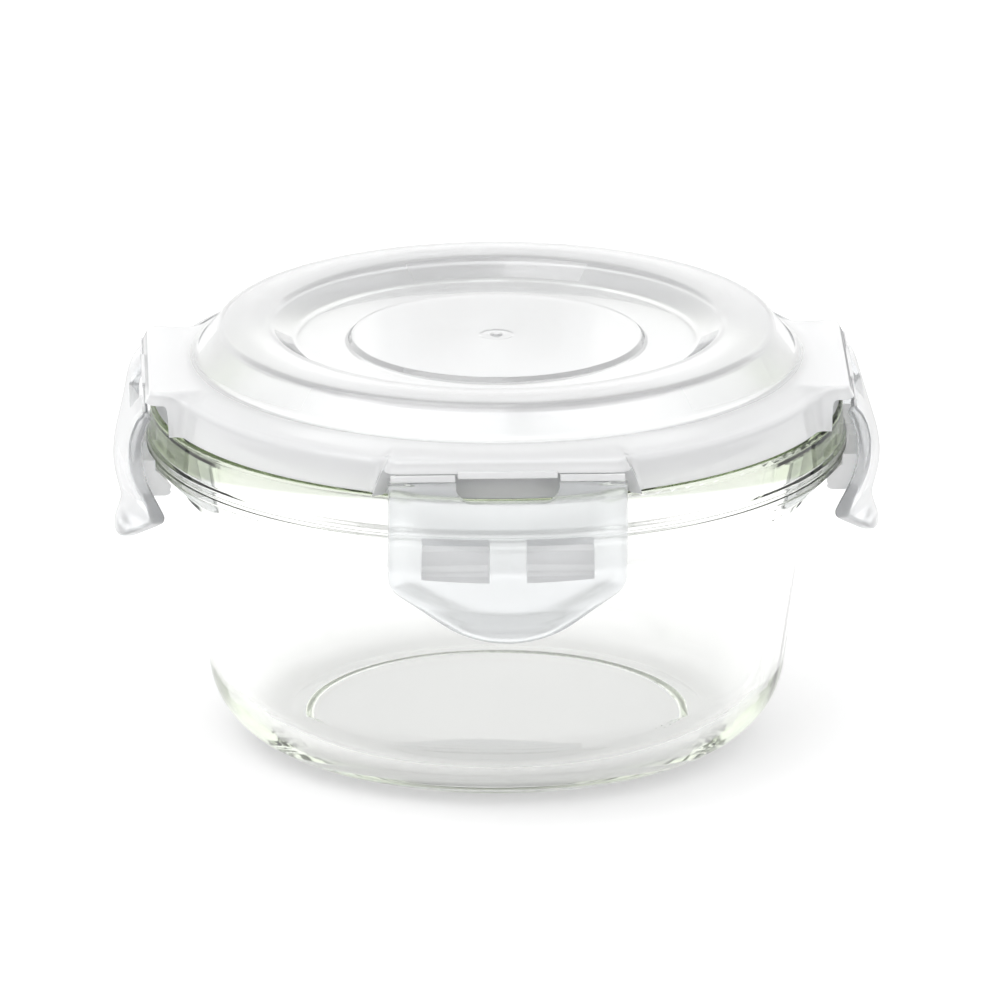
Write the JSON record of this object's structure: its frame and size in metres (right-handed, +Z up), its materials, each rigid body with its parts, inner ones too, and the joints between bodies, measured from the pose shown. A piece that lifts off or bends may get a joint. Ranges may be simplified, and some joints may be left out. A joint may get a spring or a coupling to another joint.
{
  "type": "glass food storage container",
  "caption": "Round glass food container with a clear snap lid: a soft ring seals the mouth and hinged side latches hook under the ridge of the glass.",
  "frame": {"origin": "centre of the flat foot of the glass, on the table plane", "axes": "+Z up through the lid; the front latch faces -Y, the right latch +X, the back latch +Y, the left latch -X"},
  "size_m": [0.158, 0.158, 0.0873],
  "materials": {
    "glass": "clear pressed glass with a faint green tint",
    "lid_plastic": "clear glossy plastic",
    "latch_plastic": "milky translucent plastic, softly polished",
    "silicone": "translucent white silicone"
  },
  "bodies": {
    "bowl": {"glass_bowl": "glass"},
    "lid": {"lid": "lid_plastic", "gasket": "silicone"},
    "hinge_right": {"hinge_right": "latch_plastic"},
    "latch_right": {"latch_right": "latch_plastic"},
    "hinge_back": {"hinge_back": "latch_plastic"},
    "latch_back": {"latch_back": "latch_plastic"},
    "hinge_left": {"hinge_left": "latch_plastic"},
    "latch_left": {"latch_left": "latch_plastic"},
    "hinge_front": {"hinge_front": "latch_plastic"},
    "latch_front": {"latch_front": "latch_plastic"}
  },
  "joints": [
    {"name": "lid_lift", "type": "slide", "parent": "bowl", "child": "lid", "axis": [0, 0, 1], "range_m": [0, 0.018]},
    {"name": "film_right_bend", "type": "hinge", "parent": "lid", "child": "hinge_right", "pos_m": [0.07275, 0, 0.07655], "axis": [0, -1, 0], "range_deg": [0, 72.5]},
    {"name": "latch_right_swing", "type": "hinge", "parent": "hinge_right", "child": "latch_right", "pos_m": [0.07275, 0, 0.0756], "axis": [0, -1, 0], "range_deg": [0, 95]},
    {"name": "film_back_bend", "type": "hinge", "parent": "lid", "child": "hinge_back", "pos_m": [0, 0.07275, 0.07655], "axis": [1, 0, 0], "range_deg": [0, 72.5]},
    {"name": "latch_back_swing", "type": "hinge", "parent": "hinge_back", "child": "latch_back", "pos_m": [0, 0.07275, 0.0756], "axis": [1, 0, 0], "range_deg": [0, 95]},
    {"name": "film_left_bend", "type": "hinge", "parent": "lid", "child": "hinge_left", "pos_m": [-0.07275, 0, 0.07655], "axis": [0, 1, 0], "range_deg": [0, 72.5]},
    {"name": "latch_left_swing", "type": "hinge", "parent": "hinge_left", "child": "latch_left", "pos_m": [-0.07275, 0, 0.0756], "axis": [0, 1, 0], "range_deg": [0, 95]},
    {"name": "film_front_bend", "type": "hinge", "parent": "lid", "child": "hinge_front", "pos_m": [0, -0.07275, 0.07655], "axis": [-1, 0, 0], "range_deg": [0, 72.5]},
    {"name": "latch_front_swing", "type": "hinge", "parent": "hinge_front", "child": "latch_front", "pos_m": [0, -0.07275, 0.0756], "axis": [-1, 0, 0], "range_deg": [0, 95]}
  ],
  "couplings": [
    {"joint": "film_right_bend", "follows": "lid_lift", "rad_per_m": 69.81},
    {"joint": "film_back_bend", "follows": "lid_lift", "rad_per_m": 69.81},
    {"joint": "film_left_bend", "follows": "lid_lift", "rad_per_m": 69.81},
    {"joint": "film_front_bend", "follows": "lid_lift", "rad_per_m": 69.81}
  ]
}
